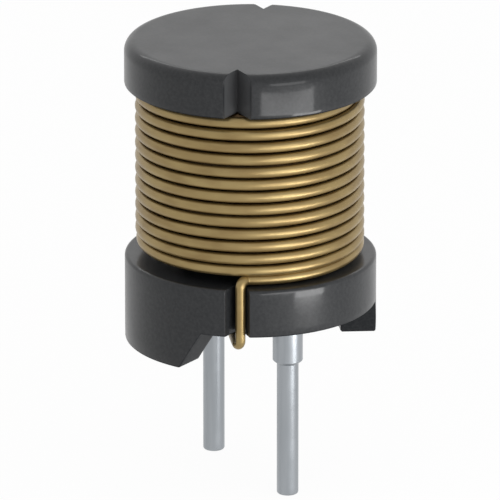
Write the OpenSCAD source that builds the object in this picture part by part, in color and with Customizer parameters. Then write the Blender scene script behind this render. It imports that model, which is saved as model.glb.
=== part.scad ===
// Radial inductor: a wire-wound ferrite drum that stands on two leads.
// The origin is on the drum's axis, level with the undersides of its two feet.
// The leads stand on the X axis and point down; the feet lie on the Y axis.

/* [Ferrite drum] */
// Diameter of both flanges
flange_d = 8.35; // [8.2:0.05:9]
// Height of the drum from its feet to its top
core_h = 10.3; // [9:0.1:12]
// Thickness of the upper flange
upper_flange_t = 1.47; // [1.2:0.01:1.8]
// Thickness of the lower flange, above the recess
lower_flange_t = 1.63; // [1.4:0.01:1.9]
// Diameter of the post that carries the winding
post_d = 4.75; // [4:0.05:4.8]
// Radius of the rounded edge of the drum's top
top_round_r = 0.38; // [0.2:0.01:0.6]
// Radius of the rounded top edge of the lower flange
rim_round_r = 0.12; // [0.05:0.01:0.2]

/* [Feet] */
// Height of the feet, which is the depth of the recess between them
foot_h = 1.3; // [1.2:0.05:1.6]
// Radial width of the feet
foot_w = 1.18; // [0.8:0.01:1.2]
// Angle that each foot spans where it stands
foot_span_a = 51.8; // [40:0.2:60]
// Slope of the feet's ends, from the vertical
foot_slope_a = 32; // [15:1:40]

/* [Notches] */
// Direction of the front pair of notches, from the X axis
notch_a = -35.5; // [-45:0.5:-25]
// Width of the mouth of the upper flange's notches
upper_mouth_w = 0.93; // [0.7:0.01:1.1]
// Included angle of the upper flange's notches
upper_vee_a = 60; // [50:1:70]
// Width of the mouth of the lower flange's notches
lower_mouth_w = 0.82; // [0.8:0.01:1]
// Included angle of the lower flange's notches
lower_vee_a = 54; // [48:1:56]

/* [Winding] */
// Diameter of the enamelled wire
wire_d = 0.335; // [0.28:0.005:0.335]
// Turns on the outer layer
layer_turns = 13; // [10:1:13]
// Gap left between neighbouring turns and layers
turn_gap = 0.01; // [0.005:0.005:0.02]
// Gap between the winding and the flanges
flange_gap = 0.02; // [0.01:0.005:0.04]
// Gap above the first turn of the outer layer
top_slack = 0.045; // [0.02:0.005:0.1]
// Radius of the wire's axis at a bend
bend_r = 0.2; // [0.18:0.01:0.22]
// Distance of the wire's axis from the drum's axis inside a lower notch
drop_r = 3.9; // [3.86:0.01:3.92]
// Sideways offset of the wire inside a lower notch
drop_y = 0.075; // [0:0.005:0.08]
// Angle by which the wire turns outwards over the lower flange
step_out_a = 54; // [45:1:60]
// Depth of the wire's lower run under the recess floor
run_drop = 0.32; // [0.25:0.01:0.35]

/* [Leads] */
// Distance between the two leads
lead_pitch = 5; // [4.8:0.1:5.2]
// Diameter of the leads
lead_d = 0.72; // [0.6:0.01:0.8]
// Length of a lead below the feet
lead_l = 4.83; // [3:0.01:20]
// Diameter of the thick collar of a lead
collar_d = 1.03; // [0.9:0.01:1.2]
// How far the collar's straight side reaches below the feet
collar_drop = 0.13; // [0:0.01:0.3]
// Height of the chamfer under the collar
collar_chamfer = 0.1; // [0.02:0.01:0.15]
// Radius of the rounded end of a lead
tip_round_r = 0.08; // [0.02:0.01:0.2]
// How much thinner the lead's shank is at its end than at its collar
shank_taper = 0.02; // [0.01:0.01:0.05]
// Depth of the hole that a lead is set in
socket_depth = 1.2; // [0.8:0.05:1.3]
// Gap for the adhesive around a lead in its hole
socket_gap = 0.075; // [0.05:0.005:0.12]
// Clearance between set pieces, such as the adhesive and the core
fit_gap = 0.01; // [0.005:0.005:0.02]
// Radius of the solder bead that joins the wire to a lead
solder_r = 0.31; // [0.26:0.01:0.31]

/* [Hidden] */
$fn = 96;
wire_fn = 24;
// Half turns stop short of each crossing by joint_a, inside a piece that is a hair thicker.
// The wire stays straight for leave_l after the last crossing.
joint_a = 0.08;
joint_l = 0.03;
joint_t = 0.002;
leave_l = 0.05;

// Levels of the drum
flange_r = flange_d / 2;
floor_z = foot_h + lower_flange_t;
ceiling_z = core_h - upper_flange_t;

// The wire's axis: its radius on each layer, from the post outwards
wire_r = wire_d / 2;
layer_step = wire_d + turn_gap;
layer_r = [for (i = [0 : 3]) post_d / 2 + flange_gap + wire_r + i * layer_step];

// The wire's axis: its levels where it crosses the line of the notches
low_z = floor_z + flange_gap + wire_r;
high_z = ceiling_z - flange_gap - wire_r;
over_z = low_z + layer_step;
out_z = low_z + turn_gap;
run_z = foot_h - run_drop;

// Outer layer: every level on the front side, then every level on the rear side
front_top = high_z - top_slack;
front_end = out_z + layer_step;
turn_pitch = (front_top - front_end) / (layer_turns - 1);
front_z = [for (k = [0 : layer_turns - 1]) front_top - k * turn_pitch];
rear_z = [for (k = [0 : layer_turns - 1])
    max(front_z[k] - turn_pitch / 2, over_z + (layer_turns - 1 - k) * layer_step)];

// The inner layers are one plain sleeve, clear of the wire that comes in under them
sleeve_r = layer_r[3] - 0.3 * wire_r;
sleeve_low = over_z - wire_r;
sleeve_high = ceiling_z - flange_gap;

// Every point where the outer wire crosses the line of the notches, as [x, z].
// It comes out of the sleeve under the upper flange and falls to the lower one.
crossings = concat(
    [[-layer_r[2], high_z]],
    [for (k = [0 : layer_turns - 1], s = [0, 1])
        s == 0 ? [layer_r[3], front_z[k]] : [-layer_r[3], rear_z[k]]],
    [[layer_r[3], out_z]]);

// The outer layer ends at leave, turns outwards by step_out_a and drops at front_drop
leave = [layer_r[3], -leave_l];
turned = leave + bend_r * [1 - cos(step_out_a), -sin(step_out_a)];
step_way = [sin(step_out_a), -cos(step_out_a)];
step_l = sqrt(pow(turned * step_way, 2) - turned * turned + drop_r * drop_r) - turned * step_way;
front_drop = turned + step_way * step_l;

// The wire comes in from the rear notch, straight towards the axis, and goes up into the sleeve
rear_a = atan2(front_drop[1], front_drop[0]) + 180;
rise_r = layer_r[1];

// The wire crosses the line of the notches just before the front notch
cross_a = notch_a - atan2(front_drop[1], front_drop[0]) + asin(drop_y / drop_r);

// Under the recess floor, each end runs from its notch to the far lead
far_lead = spin([-lead_pitch / 2, 0], -cross_a);
run_way = far_lead - front_drop;
run_l = norm(run_way) - collar_d / 2 - 3 * fit_gap;
run_a = atan2(run_way[1], run_way[0]);

function spin(p, a) = [p[0] * cos(a) - p[1] * sin(a), p[0] * sin(a) + p[1] * cos(a)];

// Half a turn of wire from just after one crossing to just before the next
module half_turn(a, b) {
    front = a[0] > 0 ? a : b;
    rear = a[0] > 0 ? b : a;
    d = front - rear;
    level = (a[1] + b[1]) / 2;
    radius = norm(d) / 2;
    translate([(a[0] + b[0]) / 2, 0, level])
        rotate([0, -atan2(d[1], d[0]), 0])
        rotate([a[0] > 0 ? 180 : 0, 0, joint_a])
        rotate_extrude(angle = 180 - 2 * joint_a)
        translate([radius, 0])
        circle(r = wire_r, $fn = wire_fn);
}

// The wire at a crossing, where it joins two half turns
module crossing(p) {
    translate([p[0], -joint_l / 2, p[1]])
        rotate([-90, 0, 0])
        cylinder(r = wire_r + joint_t, h = joint_l, $fn = wire_fn);
}

// A straight piece of wire along +Y, and what follows at its end
module straight(l) {
    rotate([-90, 0, 0]) cylinder(r = wire_r, h = l, $fn = wire_fn);
    translate([0, l, 0]) children();
}

// A bend of wire from +Y towards -X, and what follows at its end
module bend(a) {
    translate([-bend_r, 0, 0]) {
        rotate_extrude(angle = a) translate([bend_r, 0]) circle(r = wire_r, $fn = wire_fn);
        rotate(a) translate([bend_r, 0, 0]) children();
    }
}

// The wire goes down through a notch and then runs to the far lead.
// The way it comes from is level, and the run leaves at run_turn from that way.
module drop_and_run(drop_h, run_turn) {
    rotate([0, -90, 0]) bend(90)
        straight(drop_h - 2 * bend_r)
        rotate([0, 180 - run_turn, 0]) bend(90)
        straight(run_l - bend_r);
}

module winding() color([0.66, 0.54, 0.3]) rotate(cross_a) {
    for (i = [0 : len(crossings) - 2]) half_turn(crossings[i], crossings[i + 1]);
    for (i = [1 : len(crossings) - 1]) crossing(crossings[i]);
    translate([0, 0, sleeve_low]) difference() {
        cylinder(r = sleeve_r, h = sleeve_high - sleeve_low);
        translate([0, 0, -1]) cylinder(r = post_d / 2 + flange_gap, h = core_h);
    }
    translate([leave[0], 0, out_z]) rotate(180)
        straight(leave_l)
        bend(step_out_a)
        straight(step_l - bend_r)
        drop_and_run(out_z - run_z, run_a - step_out_a + 90);
    rotate(rear_a) translate([rise_r, 0, low_z + 2 * wire_r + bend_r])
        rotate([-90, 0, 0])
        rotate([0, 180, 0])
        straight(2 * wire_r)
        bend(90)
        straight(drop_r - rise_r - 2 * bend_r)
        rotate([0, -90, 0])
        drop_and_run(low_z - run_z, run_a + 180 - rear_a);
}

// Section of one flange with a rounded upper edge
module flange_section(h, r) {
    square([flange_r - r, h]);
    square([flange_r, h - r]);
    translate([flange_r - r, h - r]) circle(r = r);
}

// A pair of opposite notches through a flange
module notch_pair(mouth_w, vee_a, z, h) {
    deep = mouth_w / 2 / tan(vee_a / 2);
    mouth_x = sqrt(flange_r * flange_r - mouth_w * mouth_w / 4);
    rotate(notch_a) for (a = [0, 180]) rotate(a)
        translate([mouth_x, 0, z])
        linear_extrude(h)
        polygon([[-deep, 0], [deep, -mouth_w], [deep, mouth_w]]);
}

// One foot: a piece of a ring whose ends slope out towards the flange
module foot() {
    intersection() {
        difference() {
            cylinder(r = flange_r, h = foot_h);
            translate([0, 0, -1]) cylinder(r = flange_r - foot_w, h = foot_h + 2);
        }
        rotate(foot_span_a / 2) rotate([-foot_slope_a, 0, 0])
            translate([0, -4 * flange_r, -flange_r])
            cube([2 * flange_r, 4 * flange_r, 2 * flange_r + foot_h]);
        rotate(-foot_span_a / 2) rotate([foot_slope_a, 0, 0])
            translate([0, 0, -flange_r])
            cube([2 * flange_r, 4 * flange_r, 2 * flange_r + foot_h]);
    }
}

module drum_core() color([0.26, 0.27, 0.28]) difference() {
    union() {
        translate([0, 0, foot_h]) rotate_extrude() flange_section(lower_flange_t, rim_round_r);
        translate([0, 0, floor_z]) cylinder(d = post_d, h = ceiling_z - floor_z);
        translate([0, 0, ceiling_z]) rotate_extrude() flange_section(upper_flange_t, top_round_r);
        for (a = [90, 270]) rotate(a) foot();
    }
    notch_pair(upper_mouth_w, upper_vee_a, ceiling_z - 1, upper_flange_t + 2);
    notch_pair(lower_mouth_w, lower_vee_a, foot_h - 1, lower_flange_t + 2);
    for (x = [-1, 1]) translate([x * lead_pitch / 2, 0, foot_h - 1])
        cylinder(d = lead_d + 2 * socket_gap, h = socket_depth + 1);
}

// A lead with its tapered shank, its collar and its rounded tip, on its own axis
module lead_pin() color([0.74, 0.76, 0.78]) {
    thin = lead_d / 2;
    thick = collar_d / 2;
    low = -collar_drop - collar_chamfer;
    rotate_extrude() {
        polygon([
            [0, low], [thin, low], [thick, -collar_drop], [thick, foot_h],
            [thin, foot_h], [thin - shank_taper, foot_h + socket_depth - fit_gap],
            [0, foot_h + socket_depth - fit_gap]]);
        translate([0, -lead_l + tip_round_r]) square([thin, lead_l + low - tip_round_r]);
        translate([0, -lead_l]) square([thin - tip_round_r, tip_round_r]);
        intersection() {
            translate([thin - tip_round_r, -lead_l + tip_round_r]) circle(r = tip_round_r);
            translate([0, -lead_l]) square([thin, lead_l]);
        }
    }
}

// Adhesive that fills the gap around a lead's shank in its hole
module pin_adhesive() color([0.86, 0.8, 0.62]) translate([0, 0, foot_h]) {
    deep = socket_depth - fit_gap;
    wide = lead_d / 2 + socket_gap - fit_gap;
    narrow = lead_d / 2 + fit_gap;
    rotate_extrude() polygon([[narrow, 0], [wide, 0], [wide, deep], [narrow - shank_taper, deep]]);
}

// Solder bead between the end of the wire and the rear lead's collar
module solder_joint() color([0.8, 0.81, 0.82]) {
    translate([-lead_pitch / 2, 0, 0]) rotate(run_a + 180 + cross_a) difference() {
        translate([collar_d / 2 + 0.1, 0, run_z]) sphere(r = solder_r);
        cylinder(r = collar_d / 2 + fit_gap, h = foot_h + 1);
        translate([0, 0, run_z]) rotate([0, 90, 0]) cylinder(r = wire_r + fit_gap, h = lead_pitch / 2);
    }
}

drum_core();
winding();
translate([lead_pitch / 2, 0, 0]) lead_pin();  // lead_pin_front
translate([-lead_pitch / 2, 0, 0]) lead_pin();  // lead_pin_rear
rotate(180) solder_joint();  // solder_joint_front
solder_joint();  // solder_joint_rear
translate([lead_pitch / 2, 0, 0]) pin_adhesive();  // pin_adhesive_front
translate([-lead_pitch / 2, 0, 0]) pin_adhesive();  // pin_adhesive_rear
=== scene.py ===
"""Looks of the radial inductor: a ferrite drum with a wire winding on two tinned leads."""

import logging
import math
from dataclasses import dataclass, field
from enum import Enum

import bmesh
import bpy
import numpy as np
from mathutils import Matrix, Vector


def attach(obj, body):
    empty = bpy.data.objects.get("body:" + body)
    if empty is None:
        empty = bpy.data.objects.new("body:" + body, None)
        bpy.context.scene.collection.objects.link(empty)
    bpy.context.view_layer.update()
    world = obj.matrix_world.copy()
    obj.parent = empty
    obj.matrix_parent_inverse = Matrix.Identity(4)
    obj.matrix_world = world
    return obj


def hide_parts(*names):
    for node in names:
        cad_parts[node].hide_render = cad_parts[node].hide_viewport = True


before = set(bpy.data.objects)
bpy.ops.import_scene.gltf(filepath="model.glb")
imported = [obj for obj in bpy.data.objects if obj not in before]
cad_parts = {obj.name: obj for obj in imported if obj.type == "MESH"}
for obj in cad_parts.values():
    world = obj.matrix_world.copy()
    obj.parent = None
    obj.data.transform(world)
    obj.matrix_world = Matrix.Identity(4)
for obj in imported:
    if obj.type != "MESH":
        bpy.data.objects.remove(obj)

LOG = logging.getLogger("inductor")
MM = 0.001
BODY = "root"
SHARP_A = 40.0
ROUND_STEPS = 96
MERGE_M = 2e-7
SLIVER_M = 1e-8
DOWN = np.array([0.0, 0.0, -1.0])
Pair = tuple[float, float]
Triple = tuple[float, float, float]
Socket = bpy.types.NodeSocket


# Surfaces


def spin(points: np.ndarray, degrees: float) -> np.ndarray:
    """Turns points about the Z axis.

    Formula: x' = x cos a - y sin a, y' = x sin a + y cos a, z' = z.

    Args:
        points: Array whose last axis holds x, y and z.
        degrees: The angle of the turn.

    Returns:
        The turned points, in an array of the same shape.
    """
    a = math.radians(degrees)
    x, y, z = np.moveaxis(points, -1, 0)
    return np.stack([x * math.cos(a) - y * math.sin(a), x * math.sin(a) + y * math.cos(a), z], -1)


def soft_min(a: np.ndarray | float, b: np.ndarray | float, blend: float) -> np.ndarray:
    """The lesser of two values, with a rounded change from one to the other.

    Formula: with h = 1/2 + (b - a) / (2 blend) kept within 0 and 1, the value is
    b + (a - b) h - blend h (1 - h).

    Args:
        a: First values.
        b: Second values.
        blend: Difference of a and b under which they are blended.

    Returns:
        The blended values.
    """
    h = np.clip(0.5 + 0.5 * (b - a) / blend, 0.0, 1.0)
    return b + (a - b) * h - blend * h * (1.0 - h)


def polar(radius: np.ndarray | float, angle: np.ndarray, level: np.ndarray | float) -> np.ndarray:
    """Points at x = radius cos angle, y = radius sin angle, z = level."""
    x, y, z = np.broadcast_arrays(radius * np.cos(angle), radius * np.sin(angle), level)
    return np.stack([x, y, z], -1)


@dataclass
class Shell:
    """A closed surface of rings: row after row of points, each row a closed loop.

    The rows run from a start pole to an end pole, or, where looped is True, the last
    row joins the first. A shell may be joined to others in one mesh.
    """

    rows: np.ndarray
    start: Triple | None = None
    end: Triple | None = None
    looped: bool = False

    def parts(self) -> tuple[np.ndarray, np.ndarray, np.ndarray]:
        """Works out the shell's points and faces as whole arrays.

        Returns:
            The points, the four-sided faces and the three-sided faces at the poles.
        """
        count, around = self.rows.shape[:2]
        index = np.arange(count * around).reshape(count, around)
        near = index if self.looped else index[:-1]
        far = np.roll(index, -1, 0) if self.looped else index[1:]
        quads = np.stack([near, np.roll(near, -1, 1), np.roll(far, -1, 1), far], -1).reshape(-1, 4)
        points = [self.rows.reshape(-1, 3)]
        fans = []
        for pole, ring, flip in ((self.start, index[0], True), (self.end, index[-1], False)):
            if pole is None:
                continue
            tip = np.full(around, sum(map(len, points)))
            points.append(np.array([pole]))
            pair = (np.roll(ring, -1), ring) if flip else (ring, np.roll(ring, -1))
            fans.append(np.stack([*pair, tip], -1))
        triangles = np.concatenate(fans) if fans else np.zeros((0, 3), int)
        points = np.concatenate(points)
        if self.volume(points, quads, triangles) < 0:
            quads, triangles = quads[:, ::-1], triangles[:, ::-1]
        return points, quads, triangles

    @staticmethod
    def volume(points: np.ndarray, quads: np.ndarray, triangles: np.ndarray) -> float:
        """Six times the volume inside: the sum of a . (b x c) over all triangles a, b, c."""
        every = np.concatenate([quads[:, [0, 1, 2]], quads[:, [0, 2, 3]], triangles])
        a, b, c = (points[every[:, i]] for i in range(3))
        return float(np.einsum("ij,ij->", a, np.cross(b, c)))


def make_mesh(name: str, shells: list[Shell], sharp_degrees: float = SHARP_A) -> bpy.types.Object:
    """Puts shells, whose sizes are in millimetres, into one mesh object in metres.

    Args:
        name: The piece's name.
        shells: The closed surfaces of the piece.
        sharp_degrees: Edges that turn by more than this are shown sharp.

    Returns:
        The new object, at the origin.
    """
    points, quads, triangles, base = [], [], [], 0
    for shell in shells:
        p, q, t = shell.parts()
        points.append(p)
        quads.append(q + base)
        triangles.append(t + base)
        base += len(p)
    points, quads, triangles = map(np.concatenate, (points, quads, triangles))
    mesh = bpy.data.meshes.new(name)
    mesh.vertices.add(len(points))
    mesh.vertices.foreach_set("co", (points * MM).astype(np.float32).ravel())
    corners = np.concatenate([quads.ravel(), triangles.ravel()]).astype(np.int32)
    totals = np.concatenate([np.full(len(quads), 4), np.full(len(triangles), 3)]).astype(np.int32)
    mesh.loops.add(len(corners))
    mesh.loops.foreach_set("vertex_index", corners)
    mesh.polygons.add(len(totals))
    mesh.polygons.foreach_set("loop_start", (np.cumsum(totals) - totals).astype(np.int32))
    mesh.polygons.foreach_set("loop_total", totals)
    mesh.update(calc_edges=True)
    merged = bmesh.new()
    merged.from_mesh(mesh)
    bmesh.ops.remove_doubles(merged, verts=merged.verts, dist=MERGE_M)
    bmesh.ops.dissolve_degenerate(merged, edges=merged.edges, dist=SLIVER_M)
    merged.to_mesh(mesh)
    merged.free()
    mesh.validate()
    mesh.shade_smooth()
    mesh.set_sharp_from_angle(angle=math.radians(sharp_degrees))
    made = bpy.data.objects.new(name, mesh)
    bpy.context.scene.collection.objects.link(made)
    return made


def lathe(profile: list[Pair], around: int, centre: Pair,
          looped: bool = False) -> Shell:
    """A profile turned about an upright axis.

    Formula: each profile point (r, z) goes to centre + (r cos a, r sin a), z.

    Args:
        profile: Radius and level of each point; a profile with poles starts and ends at radius 0.
        around: Number of points round the axis.
        centre: Place of the axis, as x and y.
        looped: Whether the profile is a closed loop off the axis.

    Returns:
        The closed shell.
    """
    angle = np.linspace(0.0, 2 * math.pi, around, endpoint=False)
    line = np.array(profile)
    body = line if looped else line[1:-1]
    rows = polar(body[:, :1], angle, body[:, 1:]) + np.array([*centre, 0.0])
    if looped:
        return Shell(rows, looped=True)
    return Shell(rows, start=(*centre, line[0, 1]), end=(*centre, line[-1, 1]))


def quarter(centre_r: float, centre_z: float, radius: float, first: float, last: float,
            steps: int) -> list[Pair]:
    """Points of an arc: centre + radius (cos a, sin a), a from first to last in degrees."""
    a = np.radians(np.linspace(first, last, steps + 1))
    return list(zip(centre_r + radius * np.cos(a), centre_z + radius * np.sin(a)))


# Finishes


class Nodes:
    """Short calls that make and join the nodes of one material."""

    def __init__(self, name: str) -> None:
        """Starts a material with its own node tree."""
        self.material = bpy.data.materials.new(name)
        self.material.use_nodes = True
        tree = self.material.node_tree
        self.new, self.join = tree.nodes.new, tree.links.new
        self.shader = tree.nodes["Principled BSDF"]
        source = self.new("ShaderNodeTexCoord")
        self.place, self.facing = source.outputs["Object"], source.outputs["Normal"]

    def set(self, **values: float | tuple[float, ...]) -> None:
        """Sets constants on the shader's own sockets, named with underscores for spaces."""
        for socket, value in values.items():
            self.shader.inputs[socket.replace("_", " ")].default_value = value

    def stretched(self, scale: Triple) -> Socket:
        """Object coordinates multiplied by scale, through a Mapping node."""
        mapping = self.new("ShaderNodeMapping")
        mapping.inputs["Scale"].default_value = scale
        self.join(self.place, mapping.inputs["Vector"])
        return mapping.outputs["Vector"]

    def noise(self, scale: float, detail: float = 3.0, roughness: float = 0.55,
              vector: Socket | None = None) -> Socket:
        """A noise over the piece.

        Args:
            scale: Waves per metre of the coordinates.
            detail: Number of finer octaves.
            roughness: Weight of the finer octaves.
            vector: Coordinates to read, or None for the object's own.

        Returns:
            The noise's value socket.
        """
        node = self.new("ShaderNodeTexNoise")
        node.inputs["Scale"].default_value = scale
        node.inputs["Detail"].default_value = detail
        node.inputs["Roughness"].default_value = roughness
        self.join(vector or self.place, node.inputs["Vector"])
        return node.outputs["Fac"]

    def ramp(self, value: Socket,
             stops: list[tuple[float, Triple]]) -> Socket:
        """Maps a value to colours, given as stops of position and linear colour."""
        node = self.new("ShaderNodeValToRGB")
        points = node.color_ramp.elements
        while len(points) < len(stops):
            points.new(1.0)
        for point, (position, colour) in zip(points, stops):
            point.position = position
            point.color = (*colour, 1.0)
        self.join(value, node.inputs["Fac"])
        return node.outputs["Color"]

    def height_of(self, vector: Socket) -> Socket:
        """The Z of a vector."""
        node = self.new("ShaderNodeSeparateXYZ")
        self.join(vector, node.inputs["Vector"])
        return node.outputs["Z"]

    def notch_light_mask(self) -> Socket:
        """A value of 1 on upright faces near the top, inside the flange's radius, else 0: where
        light is painted on the upper notches' walls.
        """
        side_mm, above_mm, tilt = (4.05, 4.15), (8.7, 8.9), (0.1, 0.3)
        reach = self.new("ShaderNodeVectorMath")
        reach.operation = "LENGTH"
        self.join(self.stretched((1.0, 1.0, 0.0)), reach.inputs[0])
        inside = self.span(reach.outputs["Value"], 1.0, 0.0, *(r * MM for r in side_mm))
        upright = self.span(self.height_of(self.facing), 1.0, 0.0, *tilt)
        high = self.span(self.height_of(self.place), 0.0, 1.0, *(z * MM for z in above_mm))
        return self.times(self.times(inside, upright), high)

    def times(self, first: Socket, second: Socket) -> Socket:
        """The product of two values."""
        node = self.new("ShaderNodeMath")
        node.operation = "MULTIPLY"
        self.join(first, node.inputs[0])
        self.join(second, node.inputs[1])
        return node.outputs[0]

    def mix(self, share: Socket, first: Socket, second: Triple) -> Socket:
        """Mixes two colours: the first where share is 0, the second where it is 1."""
        node = self.new("ShaderNodeMix")
        node.data_type = "RGBA"
        self.join(share, node.inputs[0])
        self.join(first, node.inputs[6])
        node.inputs[7].default_value = (*second, 1.0)
        return node.outputs[2]

    def underside(self, low: float, high: float) -> Socket:
        """A value of low on faces that look down, and of high on all others."""
        tilt = (-0.42, -0.15)
        return self.span(self.height_of(self.facing), low, high, *tilt)

    def span(self, value: Socket, low: float, high: float,
             least: float = 0.3, most: float = 0.7) -> Socket:
        """Maps a value of least to most, by default a noise's range, onto low to high."""
        node = self.new("ShaderNodeMapRange")
        node.inputs["From Min"].default_value = least
        node.inputs["From Max"].default_value = most
        node.inputs["To Min"].default_value = low
        node.inputs["To Max"].default_value = high
        self.join(value, node.inputs["Value"])
        return node.outputs["Result"]

    def feed(self, socket: str, value: Socket) -> None:
        """Joins a value to one of the shader's sockets."""
        self.join(value, self.shader.inputs[socket])

    def bump(self, value: Socket, height_mm: float, strength: float = 1.0) -> None:
        """Raises the surface by a value, up to height_mm, in the shading normal."""
        node = self.new("ShaderNodeBump")
        node.inputs["Strength"].default_value = strength
        node.inputs["Distance"].default_value = height_mm * MM
        self.join(value, node.inputs["Height"])
        self.feed("Normal", node.outputs["Normal"])


@dataclass(frozen=True)
class Ferrite:
    """Sintered and tumbled ferrite: dark grey with a fine grain and a thin, even gloss.

    Faces that look down are as pressed, without the gloss. The upper notches' walls are paler:
    painted light, a lighter colour in place of the light that reaches into the notches.
    """

    dark: Triple = (0.011, 0.012, 0.0135)
    pale: Triple = (0.021, 0.022, 0.0235)
    # Painted light: the paler colour of the upper notches' walls.
    notch_light: Triple = (0.055, 0.056, 0.058)
    grain_per_m: float = 9000.0
    gloss: float = 0.32
    reflection: Pair = (0.04, 0.18)
    roughness: Pair = (0.36, 0.44)

    def material(self) -> bpy.types.Material:
        """Makes the finish."""
        made = Nodes("ferrite")
        made.set(Coat_Roughness=0.1, Coat_IOR=1.5)
        made.feed("Coat Weight", made.underside(0.0, self.gloss))
        made.feed("Specular IOR Level", made.underside(*self.reflection))
        grain = made.noise(self.grain_per_m, 4.0, 0.6)
        skin = made.ramp(grain, [(0.35, self.dark), (0.7, self.pale)])
        # The upper notches' walls take the painted-light colour in place of the grain.
        made.feed("Base Color", made.mix(made.notch_light_mask(), skin, self.notch_light))
        made.feed("Roughness", made.span(made.noise(600.0, 2.0), *self.roughness))
        made.bump(grain, 0.003, 0.35)
        return made.material


@dataclass(frozen=True)
class Enamel:
    """Glossy amber enamel on drawn copper wire."""

    deep: Triple = (0.235, 0.162, 0.064)
    gold: Triple = (0.315, 0.232, 0.098)
    roughness: Pair = (0.34, 0.42)

    def material(self) -> bpy.types.Material:
        """Makes the finish."""
        made = Nodes("enamelled_wire")
        made.set(Metallic=0.82, Coat_Weight=0.12, Coat_Roughness=0.2, Coat_IOR=1.55)
        drift = made.noise(900.0, 2.0, 0.5, made.stretched((1.0, 1.0, 2.5)))
        made.feed("Base Color", made.ramp(drift, [(0.3, self.deep), (0.72, self.gold)]))
        made.feed("Roughness", made.span(made.noise(2500.0, 2.0), *self.roughness))
        made.bump(made.noise(3500.0, 2.0), 0.0012, 0.25)
        return made.material


@dataclass(frozen=True)
class Tin:
    """Satin tin plating, with fine marks along the lead from drawing it."""

    dull: Triple = (0.295, 0.315, 0.335)
    clear: Triple = (0.355, 0.375, 0.395)
    roughness: Pair = (0.28, 0.34)

    def material(self) -> bpy.types.Material:
        """Makes the finish."""
        made = Nodes("tinned_lead")
        made.set(Metallic=1.0)
        marks = made.noise(5000.0, 2.0, 0.5, made.stretched((1.0, 1.0, 0.05)))
        made.feed("Base Color", made.ramp(marks, [(0.25, self.dull), (0.75, self.clear)]))
        made.feed("Roughness", made.span(made.noise(1500.0, 2.0), *self.roughness))
        made.bump(marks, 0.001, 0.2)
        return made.material


@dataclass(frozen=True)
class Solder:
    """Solidified solder: brighter than the tin, with faint dimples."""

    colour: Triple = (0.55, 0.56, 0.57)
    shade: Triple = (0.38, 0.39, 0.40)
    roughness: Pair = (0.2, 0.34)

    def material(self) -> bpy.types.Material:
        """Makes the finish."""
        made = Nodes("solder")
        made.set(Metallic=1.0)
        dimples = made.noise(3500.0, 2.0)
        made.feed("Base Color", made.ramp(dimples, [(0.3, self.shade), (0.65, self.colour)]))
        made.feed("Roughness", made.span(made.noise(6000.0, 2.0), *self.roughness))
        made.bump(dimples, 0.012, 0.5)
        return made.material


@dataclass(frozen=True)
class Adhesive:
    """Cured amber epoxy."""

    thin: Triple = (0.50, 0.40, 0.20)
    thick: Triple = (0.36, 0.26, 0.11)
    roughness: Pair = (0.2, 0.4)

    def material(self) -> bpy.types.Material:
        """Makes the finish."""
        made = Nodes("adhesive")
        made.set(Specular_IOR_Level=0.55)
        flow = made.noise(2500.0, 2.0)
        made.feed("Base Color", made.ramp(flow, [(0.3, self.thick), (0.7, self.thin)]))
        made.feed("Roughness", made.span(flow, *self.roughness))
        made.bump(flow, 0.01, 0.4)
        return made.material


class Finish(Enum):
    """The finishes of the part, named as the record's slots are, with "_inside" for the inner
    layers' wire, whose enamel is darkened as painted shade.
    """

    FERRITE = "ferrite"
    WIRE = "enamelled_wire"
    WIRE_IN_PAINTED_SHADE = "enamelled_wire_inside"
    LEAD = "tinned_lead"
    SOLDER = "solder"
    ADHESIVE = "adhesive"

    def material(self) -> bpy.types.Material:
        """The finish's material, made the first time that it is asked for."""
        found = bpy.data.materials.get(self.value + "_look")
        if found:
            return found
        made = MAKERS[self.value].material()
        made.name = self.value + "_look"
        return made

    @property
    def slot(self) -> str:
        """The record's material slot of this finish."""
        return self.value.removesuffix("_inside")


MAKERS = {
    "ferrite": Ferrite(),
    "enamelled_wire": Enamel(),
    # Painted shade: the inner layers' enamel is darkened to stand for the shade between the outer
    # turns.
    "enamelled_wire_inside": Enamel(deep=(0.05, 0.026, 0.008), gold=(0.08, 0.045, 0.014)),
    "tinned_lead": Tin(),
    "solder": Solder(),
    "adhesive": Adhesive(),
}


def dress(piece: bpy.types.Object, finish: Finish, *nodes: str) -> bpy.types.Object:
    """Gives a new piece its finish and its body, and hides the CAD nodes that it replaces.

    Args:
        piece: The new piece.
        finish: The finish that it wears.
        nodes: CAD nodes that it replaces.

    Returns:
        The same piece.
    """
    piece.data.materials.clear()
    piece.data.materials.append(finish.material())
    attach(piece, BODY)
    if nodes:
        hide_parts(*nodes)
    LOG.info("%s: %d faces, %s", piece.name, len(piece.data.polygons), finish.value)
    return piece


# The ferrite drum


@dataclass
class Notch:
    """A pair of opposite V notches through a flange. Sizes in millimetres and degrees."""

    mouth_w: float
    vee_a: float
    flange_r: float
    lean_a: float = 0.0
    direction_a: float = -35.5

    def wall(self, angle: np.ndarray) -> np.ndarray:
        """Distance from the axis to the notch's wall.

        Formula: the crease lies at the distance c and lean_a beside the notch's direction. The
        wall that meets the flange's side of radius R at an angle m from the crease leaves the
        crease at the angle w = atan2(R sin m, R cos m - c), so by the law of sines its distance
        at an angle u from the crease is c sin(w) / sin(w - u), with w - u kept at 0.03 or more.

        Args:
            angle: Directions from the axis, in radians.

        Returns:
            The distance in each direction, or a large number away from the notches.
        """
        deep = self.mouth_w / 2 / math.tan(math.radians(self.vee_a / 2))
        crease = math.sqrt(self.flange_r**2 - self.mouth_w**2 / 4) - deep
        lean = math.radians(self.lean_a)
        away = angle - math.radians(self.direction_a) - lean
        away = (away + math.pi / 2) % math.pi - math.pi / 2
        mouth = math.asin(self.mouth_w / 2 / self.flange_r) - np.sign(away) * lean
        leaving = np.arctan2(self.flange_r * np.sin(mouth), self.flange_r * np.cos(mouth) - crease)
        least = 0.03
        return crease * np.sin(leaving) / np.sin(np.clip(leaving - np.abs(away), least, None))


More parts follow.
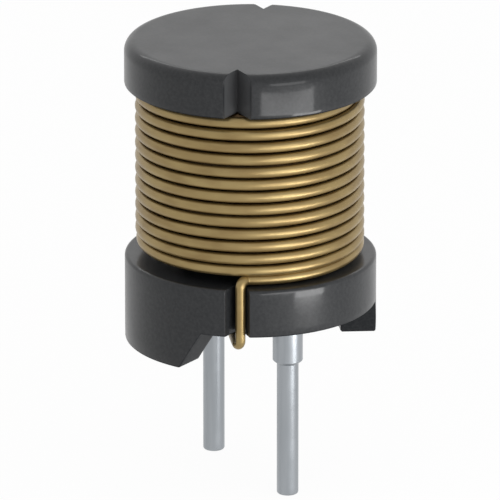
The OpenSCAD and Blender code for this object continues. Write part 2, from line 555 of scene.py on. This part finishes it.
@dataclass
class Drum:
    """The ferrite core: two flanges, the post, four notches and two feet, in millimetres."""

    flange_r: float = 4.175
    core_h: float = 10.3
    upper_t: float = 1.47
    lower_t: float = 1.63
    post_r: float = 2.375
    top_round: float = 0.38
    rim_round: float = 0.12
    edge_round: float = 0.06
    foot_h: float = 1.3
    foot_w: float = 1.18
    foot_span_a: float = 51.8
    foot_slope_a: float = 32.0
    notch_round: float = 0.035
    post_round: float = 0.1
    socket_r: float = 0.44
    socket_h: float = 1.2
    lead_x: float = 2.5
    upper: Notch = field(default_factory=lambda: Notch(0.93, 60.0, 4.175, -1.4))
    lower: Notch = field(default_factory=lambda: Notch(0.82, 54.0, 4.175))

    def columns(self) -> np.ndarray:
        """Angles of the columns of points: every degree, and closer at notches and foot ends."""
        notch_a = self.lower.direction_a
        close = [np.arange(a - 9.0, a + 9.0, 0.18) for a in (notch_a, notch_a + 180.0)]
        ends = [s * 90.0 + t * np.arange(23.0, 44.0, 0.45) for s in (-1, 1) for t in (-1, 1)]
        every = np.concatenate([np.arange(-180.0, 180.0, 1.0), *close, *ends])
        every = np.unique(np.round((every + 180.0) % 360.0 - 180.0, 3))
        return np.radians(every[np.append(np.diff(every) > 0.06, True)])

    def foot_level(self, angle: np.ndarray, radius: np.ndarray | float) -> np.ndarray:
        """Level of the underside outside the recess.

        Formula: each end of a foot is a plane that slopes away from a radial line at half the
        foot's span, so beyond that line the level is radius sin(angle beyond) / tan(slope),
        kept between 0 and the recess floor with rounded corners.

        Args:
            angle: Directions from the axis, in radians.
            radius: Distances from the axis.

        Returns:
            The levels.
        """
        half = math.radians(self.foot_span_a / 2)
        beyond = np.abs((angle + math.pi) % math.pi - math.pi / 2) - half
        rise = radius * np.sin(beyond) / math.tan(math.radians(self.foot_slope_a))
        raised = -soft_min(-rise, 0.0, self.edge_round)
        return soft_min(raised, self.foot_h, self.edge_round)

    def profile(self) -> list[tuple[float, float, bool]]:
        """Radius and level of the rows above the lower flange's side, from the top down.

        Returns:
            Rows of radius, level and whether the upper notches cut the row.
        """
        r, top, ceiling = self.flange_r, self.core_h, self.core_h - self.upper_t
        floor, e = self.foot_h + self.lower_t, self.edge_round
        t, m, p = self.top_round, self.rim_round, self.post_round

        def arc(upper: bool, *values: float) -> list[tuple[float, float, bool]]:
            """The points of a quarter as rows."""
            return [(x, z, upper) for x, z in quarter(*values)]

        rows = [(x, top, True) for x in (1.2, 2.2, 2.9, *np.arange(3.2, r - t, 0.055))]
        rows += arc(True, r - t, top - t, t, 90, 0, 12)
        rows += [(r, z, True) for z in (top - 0.6, top - 1.0, ceiling + 0.2)]
        rows += arc(True, r - e, ceiling + e, e, 0, -90, 3)
        rows += [(x, ceiling, True) for x in (*np.arange(r - 0.15, 3.1, -0.07), 2.8)]
        rows += arc(True, self.post_r + p, ceiling - p, p, 90, 180, 3)
        rows += arc(False, self.post_r + p, floor + p, p, 180, 270, 3)
        rows += [(x, floor, False) for x in (2.8, *np.arange(3.15, r - m, 0.06))]
        rows += arc(False, r - m, floor - m, m, 90, 0, 5)
        return rows

    def shell(self) -> Shell:
        """The core's closed surface, as rows of points over the columns' angles.

        Formula: a row of radius r and level z lies at the lesser of r and the notch's wall,
        rounded where they meet; below the side the level is that of the feet.

        Returns:
            The closed shell.
        """
        angle = self.columns()
        walls = {True: self.upper.wall(angle), False: self.lower.wall(angle)}
        rows = [polar(soft_min(r, walls[up], self.notch_round), angle, z)
                for r, z, up in self.profile()]
        floor, e = self.foot_h + self.lower_t, self.edge_round
        outer = soft_min(self.flange_r, walls[False], self.notch_round)
        under = self.foot_level(angle, self.flange_r)
        high = floor - self.rim_round
        for share in (0.15, 0.5, 0.85):
            rows.append(polar(outer, angle, high + (under + e - high) * share))
        for turn in (0.0, 30.0, 60.0, 90.0):
            a = math.radians(turn)
            rows.append(polar(outer - e * (1 - math.cos(a)), angle, under + e * (1 - math.sin(a))))
        inner = self.flange_r - self.foot_w
        for radius in (*np.arange(self.flange_r - 0.15, inner + 0.1, -0.085), inner + e):
            flat = np.minimum(radius, outer - e)
            rows.append(polar(flat, angle, self.foot_level(angle, flat)))
        low = self.foot_level(angle, inner)
        drop = self.foot_h - low
        rows.append(polar(inner, angle, low + np.minimum(e, drop * 0.5)))
        rows += [polar(x, angle, self.foot_h) for x in (inner, inner - 0.06, 2.4, 1.4, 0.6)]
        return Shell(np.stack(rows), start=(0.0, 0.0, self.core_h), end=(0.0, 0.0, self.foot_h))

    def cut_sockets(self, core: bpy.types.Object) -> None:
        """Cuts the two blind holes that the leads are set in.

        Args:
            core: The core's mesh object, which is changed.
        """
        clear = 0.3
        low, high = self.foot_h - clear, self.foot_h + self.socket_h
        profile = [(0.0, low), (self.socket_r, low), (self.socket_r, high), (0.0, high)]
        holes = [lathe(profile, ROUND_STEPS, (x, 0.0)) for x in (self.lead_x, -self.lead_x)]
        cutter = make_mesh("socket_cutter", holes)
        cut = core.modifiers.new("sockets", "BOOLEAN")
        cut.operation = "DIFFERENCE"
        cut.solver = "MANIFOLD"
        cut.object = cutter
        graph = bpy.context.evaluated_depsgraph_get()
        done = bpy.data.meshes.new_from_object(core.evaluated_get(graph))
        core.modifiers.clear()
        core.data = done
        bpy.data.objects.remove(cutter)
        done.shade_smooth()
        done.set_sharp_from_angle(angle=math.radians(SHARP_A))

    def build(self) -> bpy.types.Object:
        """Builds and dresses the core."""
        core = make_mesh("ferrite_drum", [self.shell()])
        self.cut_sockets(core)
        return dress(core, Finish.FERRITE, "drum_core")


# The winding


@dataclass
class Route:
    """A route of wire, laid by straight lengths and bends from a place and a heading."""

    place: np.ndarray
    heading: np.ndarray
    bend_r: float
    points: list[np.ndarray] = field(default_factory=list)

    def straight(self, length: float, steps: int = 6) -> "Route":
        """Goes straight on: place + heading t, t up to length."""
        t = np.linspace(0.0, length, steps + 1)[1:, None]
        self.points.append(self.place + self.heading * t)
        self.place = self.points[-1][-1]
        return self

    def bend(self, towards: np.ndarray, degrees: float = 90.0, steps: int = 12) -> "Route":
        """Bends towards a direction that is square to the heading.

        Formula: place + bend_r (heading sin a + towards (1 - cos a)), a up to degrees.

        Args:
            towards: Unit vector to the bend's inside.
            degrees: How far the wire turns.
            steps: Number of points on the bend.

        Returns:
            The route itself.
        """
        a = np.radians(np.linspace(0.0, degrees, steps + 1))[1:, None]
        arc = self.heading * np.sin(a) + towards * (1.0 - np.cos(a))
        self.points.append(self.place + self.bend_r * arc)
        self.place = self.points[-1][-1]
        self.heading = self.heading * np.cos(a[-1]) + towards * np.sin(a[-1])
        return self

    def curve(self, goal: np.ndarray, way: np.ndarray, grip: float, steps: int = 48) -> "Route":
        """Goes to a place in one smooth curve.

        Formula: the cubic through both ends with the heading and way as its end tangents, the
        first grip long and the last d, the straight distance: p0 h00 + grip heading h10
        + p1 h01 + d way h11.

        Args:
            goal: Where the curve ends.
            way: Its direction there.
            grip: Length of the first tangent, in millimetres: how long the wire keeps its heading.
            steps: Number of points on it.

        Returns:
            The route itself.
        """
        t = np.linspace(0.0, 1.0, steps + 1)[1:, None]
        d = float(np.linalg.norm(goal - self.place))
        start = self.place * (2 * t**3 - 3 * t**2 + 1)
        hold = self.heading * grip * (t**3 - 2 * t**2 + t)
        self.points.append(start + hold + goal * (3 * t**2 - 2 * t**3) + way * d * (t**3 - t**2))
        self.place, self.heading = goal, way
        return self


def tube(path: np.ndarray, radius: float, around: int, tall: np.ndarray | float = 1.0) -> Shell:
    """A tube along a path, without twist, closed at both ends.

    Formula: each point gets a pair of axes square to the path. The angle by which one pair,
    carried on to the next point, differs from that point's own pair is added up along the
    path, and the ring of radius r starts from that sum. Heights within a ring are
    multiplied by tall.

    Args:
        path: Points of the axis.
        radius: Radius of the tube.
        around: Number of points in each ring.
        tall: How much taller than round the tube is, at each point of the path.

    Returns:
        The closed shell.
    """
    way = np.gradient(path, axis=0)
    way /= np.linalg.norm(way, axis=1, keepdims=True)
    lead = np.where(np.abs(way[:, 2:]) < 0.8, np.array([0.0, 0.0, 1.0]), np.array([1.0, 0.0, 0.0]))
    first = np.cross(way, lead)
    first /= np.linalg.norm(first, axis=1, keepdims=True)
    second = np.cross(way, first)
    axis = np.cross(way[:-1], way[1:])
    cosine = np.einsum("ij,ij->i", way[:-1], way[1:])[:, None]
    old = first[:-1]
    carried = (old * cosine + np.cross(axis, old)
               + axis * np.einsum("ij,ij->i", axis, old)[:, None] / (1.0 + cosine))
    slip = np.arctan2(np.einsum("ij,ij->i", carried, second[1:]),
                      np.einsum("ij,ij->i", carried, first[1:]))
    turn = np.concatenate([[0.0], np.cumsum(slip)])[:, None]
    angle = np.linspace(0.0, 2 * math.pi, around, endpoint=False)[None, :] + turn
    rings = radius * (np.cos(angle)[..., None] * first[:, None]
                      + np.sin(angle)[..., None] * second[:, None])
    rings[..., 2] *= np.broadcast_to(tall, len(path))[:, None]
    return Shell(rings + path[:, None], start=tuple(path[0]), end=tuple(path[-1]))


@dataclass
class Winding:
    """The enamelled wire: outer turns, both ends and the layers inside, in millimetres."""

    wire_r: float = 0.1675
    post_r: float = 2.375
    floor_z: float = 2.93
    ceiling_z: float = 8.83
    foot_h: float = 1.3
    turns: int = 13
    turn_gap: float = 0.01
    flange_gap: float = 0.02
    top_slack: float = 0.045
    bend_r: float = 0.2
    drop_r: float = 3.9
    drop_y: float = 0.075
    step_out_a: float = 54.0
    run_drop: float = 0.32
    leave_l: float = 0.05
    notch_a: float = -35.5
    lead_x: float = 2.5
    collar_r: float = 0.515
    fit_gap: float = 0.01
    turn_tall: float = 1.10
    spread: float = 1.009
    sag: float = 0.038
    shift: Pair = (-0.012, -0.022)
    kick_a: float = 20.0
    kick_drop: float = 0.05
    grip: float = 0.25
    fade: Pair = (0.3, 2.9)

    def __post_init__(self) -> None:
        """Works out the levels, radii and directions that the parts of the winding share."""
        self.step = 2 * self.wire_r + self.turn_gap
        self.layers = self.post_r + self.flange_gap + self.wire_r + self.step * np.arange(4)
        self.low_z = self.floor_z + self.flange_gap + self.wire_r
        self.high_z = self.ceiling_z - self.flange_gap - self.wire_r
        self.out_z = self.low_z + self.turn_gap
        self.run_z = self.foot_h - self.run_drop
        a = math.radians(self.step_out_a)
        self.step_way = np.array([math.sin(a), -math.cos(a), 0.0])
        turned = np.array([self.layers[3] + self.bend_r * (1 - math.cos(a)),
                           -self.leave_l - self.bend_r * math.sin(a), 0.0])
        part = float(turned @ self.step_way)
        self.step_l = math.sqrt(part**2 - float(turned @ turned) + self.drop_r**2) - part
        self.drop = turned + self.step_way * self.step_l
        drop_a = math.degrees(math.atan2(self.drop[1], self.drop[0]))
        self.cross_a = self.notch_a - drop_a + math.degrees(math.asin(self.drop_y / self.drop_r))
        far = spin(np.array([-self.lead_x, 0.0, 0.0]), -self.cross_a)
        run = far - self.drop
        self.run_l = float(np.linalg.norm(run)) - self.collar_r - 3 * self.fit_gap
        self.run_way = run / np.linalg.norm(run)

    def crossings(self) -> np.ndarray:
        """Places where the outer wire crosses the line of the notches, as x and z."""
        top = self.high_z - self.top_slack
        end = self.out_z + self.step
        k = np.arange(self.turns)
        front = top - k * (top - end) / (self.turns - 1)
        least = self.low_z + self.step + (self.turns - 1 - k) * self.step
        rear = np.maximum(front - (top - end) / (self.turns - 1) / 2, least)
        x = np.tile([self.layers[3], -self.layers[3]], self.turns)
        z = np.stack([front, rear], -1).ravel()
        return np.concatenate([[[-self.layers[2], self.high_z]], np.stack([x, z], -1),
                               [[self.layers[3], self.out_z]]])

    def turns_path(self, steps: int = 64) -> np.ndarray:
        """The axis of the outer turns.

        Formula: each half turn is half a circle whose diameter joins two crossings, so at the
        angle u it is at centre + half the diameter times (cos u) along it and (sin u) along Y.

        Args:
            steps: Points on each half turn.

        Returns:
            The points, from under the upper flange down to the last crossing.
        """
        cross = self.crossings()
        a, b = cross[:-1], cross[1:]
        ahead = (a[:, :1] > 0)
        front, rear = np.where(ahead, a, b), np.where(ahead, b, a)
        centre, half = (front + rear) / 2, (front - rear) / 2
        u = np.linspace(0.0, math.pi, steps, endpoint=False)[None, :]
        angle = np.where(ahead, -u, math.pi - u)
        x = centre[:, :1] + half[:, :1] * np.cos(angle)
        z = centre[:, 1:] + half[:, 1:] * np.cos(angle)
        y = np.linalg.norm(half, axis=1)[:, None] * np.sin(angle)
        points = np.stack([x, y, z], -1).reshape(-1, 3)
        return np.concatenate([points, [[self.layers[3], 0.0, self.out_z]]])

    def settled(self, turns: np.ndarray) -> tuple[np.ndarray, np.ndarray]:
        """Lays the turns as they were pulled: pressed together, a little low and to one side.

        Formula: towards the last crossing a share goes from 1 to 0 as t t (3 - 2 t), where t is 0
        at the first of fade, in half turns that are left, and 1 at its second. The sag, the
        shift, the spread from the axis and the added height are multiplied by the share.

        Args:
            turns: Points of the outer turns' axis.

        Returns:
            The moved points, and how much taller than round the wire is at each.
        """
        left = np.linspace(len(self.crossings()) - 1, 0.0, len(turns))
        t = np.clip((left - self.fade[0]) / (self.fade[1] - self.fade[0]), 0.0, 1.0)
        share = t * t * (3.0 - 2.0 * t)
        offset = spin(np.array([*self.shift, 0.0]), -self.cross_a) + np.array([0.0, 0.0, -self.sag])
        wider = np.array([self.spread - 1.0, self.spread - 1.0, 0.0])
        moved = turns + share[:, None] * (offset + turns * wider)
        return moved, 1.0 + (self.turn_tall - 1.0) * share

    def outer_path(self) -> tuple[np.ndarray, np.ndarray]:
        """The outer turns and the end that goes over the lower flange and down to the far lead.

        Returns:
            The points of the wire's axis, and how much taller than round it is at each.
        """
        turns, tall = self.settled(self.turns_path())
        out = Route(turns[-1], np.array([0.0, -1.0, 0.0]), self.bend_r)
        out.straight(self.leave_l, 2).bend(np.array([1.0, 0.0, 0.0]), self.step_out_a, 9)
        out.straight(self.step_l - self.bend_r, 3).bend(DOWN)
        kick = spin(self.run_way, self.kick_a)
        fall = self.out_z - self.run_z - 2 * self.bend_r + self.kick_drop
        out.straight(fall, 10).bend(kick)
        goal = self.drop + self.run_way * self.run_l
        goal[2] = self.run_z
        out.curve(goal, self.run_way, self.grip)
        points = np.concatenate([turns, *out.points])
        return points, np.concatenate([tall, np.ones(len(points) - len(tall))])

    def inner_path(self) -> np.ndarray:
        """The end that comes from the other lead, up through the rear notch, into the layers."""
        outward = -self.drop * np.array([1.0, 1.0, 0.0]) / self.drop_r
        level = self.low_z + 2 * self.wire_r + self.bend_r
        start = outward * self.layers[1] + np.array([0.0, 0.0, level])
        back = Route(start, DOWN, self.bend_r, [start[None, :]])
        back.straight(2 * self.wire_r, 3).bend(outward)
        back.straight(self.drop_r - self.layers[1] - 2 * self.bend_r, 6).bend(DOWN)
        back.straight(self.low_z - self.run_z - 2 * self.bend_r, 10).bend(-self.run_way)
        back.straight(self.run_l - self.bend_r, 30)
        return np.concatenate(back.points)

    def layers_shell(self) -> Shell:
        """The layers inside the outer one, as a sleeve whose outside is ribbed like wound wire.

        Formula: within each rib, at a distance d from its middle, the radius is that of the
        layer's wire axis plus the square root of (wire radius squared - d squared).

        Returns:
            The closed shell.
        """
        low, high = self.low_z + self.step - self.wire_r, self.ceiling_z - self.flange_gap
        ribs = round((high - low) / self.step)
        pitch = (high - low) / ribs
        most = 0.97
        share = np.linspace(-most, most, 8)
        d = np.tile(share, ribs) * pitch / 2
        level = np.repeat(low + pitch * (np.arange(ribs) + 0.5), len(share)) + d
        near = np.minimum(np.abs(d), self.wire_r * most)
        out = self.layers[2] + np.sqrt(self.wire_r**2 - near**2)
        inside = self.post_r + self.flange_gap
        profile = [(inside, high), (inside, low), *zip(out, level)]
        return lathe(profile, 120, (0.0, 0.0), looped=True)

    def build(self) -> list[bpy.types.Object]:
        """Builds and dresses the wire and the layers under it."""
        outer, tall = self.outer_path()
        shells = [tube(outer, self.wire_r, 20, tall), tube(self.inner_path(), self.wire_r, 20)]
        for shell in shells:
            shell.rows = spin(shell.rows, self.cross_a)
            shell.start = tuple(spin(np.array(shell.start), self.cross_a))
            shell.end = tuple(spin(np.array(shell.end), self.cross_a))
        wire = make_mesh("outer_turns_and_ends", shells)
        layers = make_mesh("inner_layers", [self.layers_shell()])
        # The inner layers wear the enamel darkened as painted shade.
        return [dress(wire, Finish.WIRE, "winding"), dress(layers, Finish.WIRE_IN_PAINTED_SHADE, "winding")]


# The leads and what holds them


@dataclass
class Lead:
    """One tinned lead with its collar and its shank, in millimetres."""

    x: float
    name: str
    node: str
    thin_r: float = 0.36
    shank_taper: float = 0.02
    thick_r: float = 0.50
    foot_h: float = 1.3
    shank_top: float = 2.49
    collar_drop: float = 0.13
    chamfer: float = 0.1
    length: float = 4.83
    tip_round: float = 0.08

    def profile(self) -> list[Pair]:
        """The lead's outline from its tip up to the end of its shank, with soft corners."""
        thin, thick, t, c = self.thin_r, self.thick_r, self.tip_round, self.chamfer
        low, soft, edge = -self.collar_drop, 0.015, 0.03
        line = [(0.0, -self.length), (thin - t - 0.05, -self.length)]
        line += quarter(thin - t, -self.length + t, t, -90, 0, 6)
        line += [(thin, z) for z in (-self.length + 0.3, -2.5, low - c - 0.05, low - c - soft)]
        line += [(thin + soft * 0.6, low - c), (thick - soft * 1.2, low - soft)]
        line += [(thick, low + soft), (thick, low + 0.2)]
        line += [(thick, self.foot_h - edge), (thick - edge, self.foot_h)]
        end = thin - self.shank_taper
        line += [(thin, self.foot_h), (end, self.shank_top - edge), (end - edge, self.shank_top)]
        return [*line, (0.0, self.shank_top)]

    def build(self) -> bpy.types.Object:
        """Builds and dresses the lead."""
        lead = make_mesh(self.name, [lathe(self.profile(), ROUND_STEPS, (self.x, 0.0))], 30.0)
        return dress(lead, Finish.LEAD, self.node)


@dataclass
class SolderBead:
    """Solder that joins an end of the wire to a lead's collar, in millimetres."""

    x: float
    towards_a: float
    name: str
    node: str
    radius: float = 0.31
    middle: float = 0.615
    level: float = 0.98
    collar_r: float = 0.502
    mean: float = 0.97
    oval: float = 0.07
    flat: float = 0.95

    def build(self) -> bpy.types.Object:
        """Builds and dresses the bead.

        Formula: a ball is drawn out along the wire and up and down the collar by a cosine of
        its angles, and what would lie inside the collar is pushed out radially onto it.

        Returns:
            The bead.
        """
        up = np.linspace(0.0, math.pi, 26)[1:-1, None]
        about = np.linspace(0.0, 2 * math.pi, 48, endpoint=False)[None, :]
        size = self.radius * (self.mean - self.oval * np.sin(up) ** 2 * np.cos(2 * about))
        x = self.middle + size * np.sin(up) * np.cos(about)
        y = size * self.flat * np.sin(up) * np.sin(about)
        z = np.broadcast_to(self.level + self.radius * np.cos(up), x.shape)
        rows = np.stack([x, y, z], -1)
        far = np.hypot(rows[..., 0], rows[..., 1])
        push = np.maximum(1.0, self.collar_r / far)[..., None]
        rows = rows * np.concatenate([push, push, np.ones_like(push)], -1)
        place = np.array([self.x, 0.0, 0.0])
        poles = [np.array([self.middle, 0.0, self.level + s * self.radius]) for s in (1.0, -1.0)]
        rows = spin(rows, self.towards_a) + place
        start, end = (tuple(spin(p, self.towards_a) + place) for p in poles)
        return dress(make_mesh(self.name, [Shell(rows, start=start, end=end)], 50.0),
                     Finish.SOLDER, self.node)


# The studio


@dataclass
class Softbox:
    """A flat lamp round the object: degrees to the camera's right and up, metres, and radiance."""

    right_a: float
    up_a: float
    distance: float
    width: float
    height: float
    radiance: float
    aim_z: float = 0.004

    def build(self, name: str, azimuth: float) -> bpy.types.Object:
        """Makes the lamp.

        Args:
            name: The lamp's name.
            azimuth: The camera's azimuth, in degrees.

        Returns:
            The lamp.
        """
        data = bpy.data.lights.new(name, "AREA")
        data.shape = "RECTANGLE"
        data.size, data.size_y = self.width, self.height
        data.energy = self.radiance * math.pi * self.width * self.height
        lamp = bpy.data.objects.new(name, data)
        way = direction(azimuth + self.right_a, self.up_a)
        lamp.location = way * self.distance + Vector((0.0, 0.0, self.aim_z))
        lamp.rotation_mode = "QUATERNION"
        lamp.rotation_quaternion = way.to_track_quat("Z", "Y")
        lamp.visible_camera = False
        bpy.context.scene.collection.objects.link(lamp)
        return lamp


LAMPS = {
    "key_lamp": Softbox(34.0, 8.0, 0.35, 0.20, 0.16, 3.2),
    "patch_lamp": Softbox(32.0, -7.2, 0.0252, 0.0215, 0.0040, 6.6),
    "low_lamp": Softbox(51.0, -15.4, 0.0259, 0.012, 0.0037, 13.0),
    "rim_lamp": Softbox(180.0, 36.0, 0.30, 0.30, 0.020, 3.5),
}


def direction(azimuth: float, elevation: float) -> Vector:
    """Unit vector from the object at an azimuth, 0 being along -Y, and an elevation."""
    a, e = math.radians(azimuth), math.radians(elevation)
    return Vector((math.sin(a) * math.cos(e), -math.cos(a) * math.cos(e), math.sin(e)))


@dataclass
class Studio:
    """The camera, the lamps, the world and the floor."""

    azimuth: float = 60.5
    elevation: float = 18.72
    distance: float = 0.332
    aim_z: float = 0.002948
    aim_left: float = 0.0000176
    lens: float = 720.0
    floor_z: float = -0.00483
    floor_half: float = 0.9
    floor_grey: float = 0.9
    floor_glow: float = 0.95
    ambient: float = 0.75

    def camera(self) -> None:
        """Places the camera as the photograph's was, with a long lens."""
        data = bpy.data.cameras.new("camera")
        data.type = "PERSP"
        data.sensor_width = 36.0
        data.lens = self.lens
        data.clip_start, data.clip_end = 0.01, 10.0
        camera = bpy.data.objects.new("camera", data)
        back = direction(self.azimuth, self.elevation)
        a = math.radians(self.azimuth)
        left = Vector((-math.cos(a), -math.sin(a), 0.0)) * self.aim_left
        camera.location = Vector((0.0, 0.0, self.aim_z)) + back * self.distance + left
        camera.rotation_mode = "QUATERNION"
        camera.rotation_quaternion = (-back).to_track_quat("-Z", "Y")
        bpy.context.scene.collection.objects.link(camera)
        bpy.context.scene.camera = camera

    @staticmethod
    def seen(tree: bpy.types.NodeTree) -> Socket:
        """A value of 1 for camera, glossy and transmission rays, and 0 for all others."""
        new, join = tree.nodes.new, tree.links.new
        path = new("ShaderNodeLightPath")
        total = path.outputs["Is Camera Ray"]
        for kind in ("Is Glossy Ray", "Is Transmission Ray"):
            add = new("ShaderNodeMath")
            add.operation = "MAXIMUM"
            join(total, add.inputs[0])
            join(path.outputs[kind], add.inputs[1])
            total = add.outputs[0]
        return total

    def world(self) -> None:
        """A white surrounding for what is seen, and a plain soft light on the object."""
        world = bpy.data.worlds.new("surrounding")
        bpy.context.scene.world = world
        world.use_nodes = True
        tree = world.node_tree
        new, join = tree.nodes.new, tree.links.new
        mix = new("ShaderNodeMixShader")
        light, white = tree.nodes["Background"], new("ShaderNodeBackground")
        for node, strength in ((light, self.ambient), (white, 1.0)):
            node.inputs["Color"].default_value = (1.0, 1.0, 1.0, 1.0)
            node.inputs["Strength"].default_value = strength
        join(self.seen(tree), mix.inputs["Fac"])
        join(light.outputs[0], mix.inputs[1])
        join(white.outputs[0], mix.inputs[2])
        join(mix.outputs[0], tree.nodes["World Output"].inputs["Surface"])

    def floor(self) -> None:
        """A pale floor under the leads' tips that keeps a soft shadow; clear from below."""
        h, z = self.floor_half, self.floor_z
        mesh = bpy.data.meshes.new("floor")
        mesh.from_pydata([(-h, -h, z), (h, -h, z), (h, h, z), (-h, h, z)], [], [(0, 1, 2, 3)])
        floor = bpy.data.objects.new("floor", mesh)
        bpy.context.scene.collection.objects.link(floor)
        material = bpy.data.materials.new("pale_floor")
        material.use_nodes = True
        tree = material.node_tree
        new, join = tree.nodes.new, tree.links.new
        tree.nodes.remove(tree.nodes["Principled BSDF"])
        matte = new("ShaderNodeBsdfDiffuse")
        matte.inputs["Color"].default_value = (*[self.floor_grey] * 3, 1.0)
        glow = new("ShaderNodeEmission")
        glow.inputs["Strength"].default_value = 1.0
        share = new("ShaderNodeMath")
        share.operation = "MULTIPLY"
        share.inputs[1].default_value = self.floor_glow
        join(self.seen(tree), share.inputs[0])
        mix = new("ShaderNodeMixShader")
        join(share.outputs[0], mix.inputs["Fac"])
        join(matte.outputs[0], mix.inputs[1])
        join(glow.outputs[0], mix.inputs[2])
        under = new("ShaderNodeMixShader")
        clear = new("ShaderNodeBsdfTransparent")
        side = new("ShaderNodeNewGeometry")
        join(side.outputs["Backfacing"], under.inputs["Fac"])
        join(mix.outputs[0], under.inputs[1])
        join(clear.outputs[0], under.inputs[2])
        join(under.outputs[0], tree.nodes["Material Output"].inputs["Surface"])
        mesh.materials.append(material)

    def build(self) -> None:
        """Makes everything that isn't the object."""
        self.camera()
        self.world()
        self.floor()
        for name, lamp in LAMPS.items():
            lamp.build(name, self.azimuth)


def main() -> None:
    """Builds the studio and every piece, in order."""
    logging.basicConfig(level=logging.INFO, format="%(message)s")
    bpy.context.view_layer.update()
    bpy.context.scene.view_settings.view_transform = "Standard"
    Studio().build()
    Drum().build()
    winding = Winding()
    winding.build()
    run_a = math.degrees(math.atan2(winding.run_way[1], winding.run_way[0]))
    Lead(2.5, "front_lead", "lead_pin_front").build()
    Lead(-2.5, "rear_lead", "lead_pin_rear").build()
    towards = run_a + 180.0 + winding.cross_a
    SolderBead(-2.5, towards, "rear_bead", "solder_joint_rear").build()
    SolderBead(2.5, towards + 180.0, "front_bead", "solder_joint_front").build()
    for node in ("pin_adhesive_front", "pin_adhesive_rear"):
        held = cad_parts[node]
        held.data.materials.clear()
        held.data.materials.append(Finish.ADHESIVE.material())
        LOG.info("%s: carried over, adhesive", node)


if __name__ == "__main__":
    main()
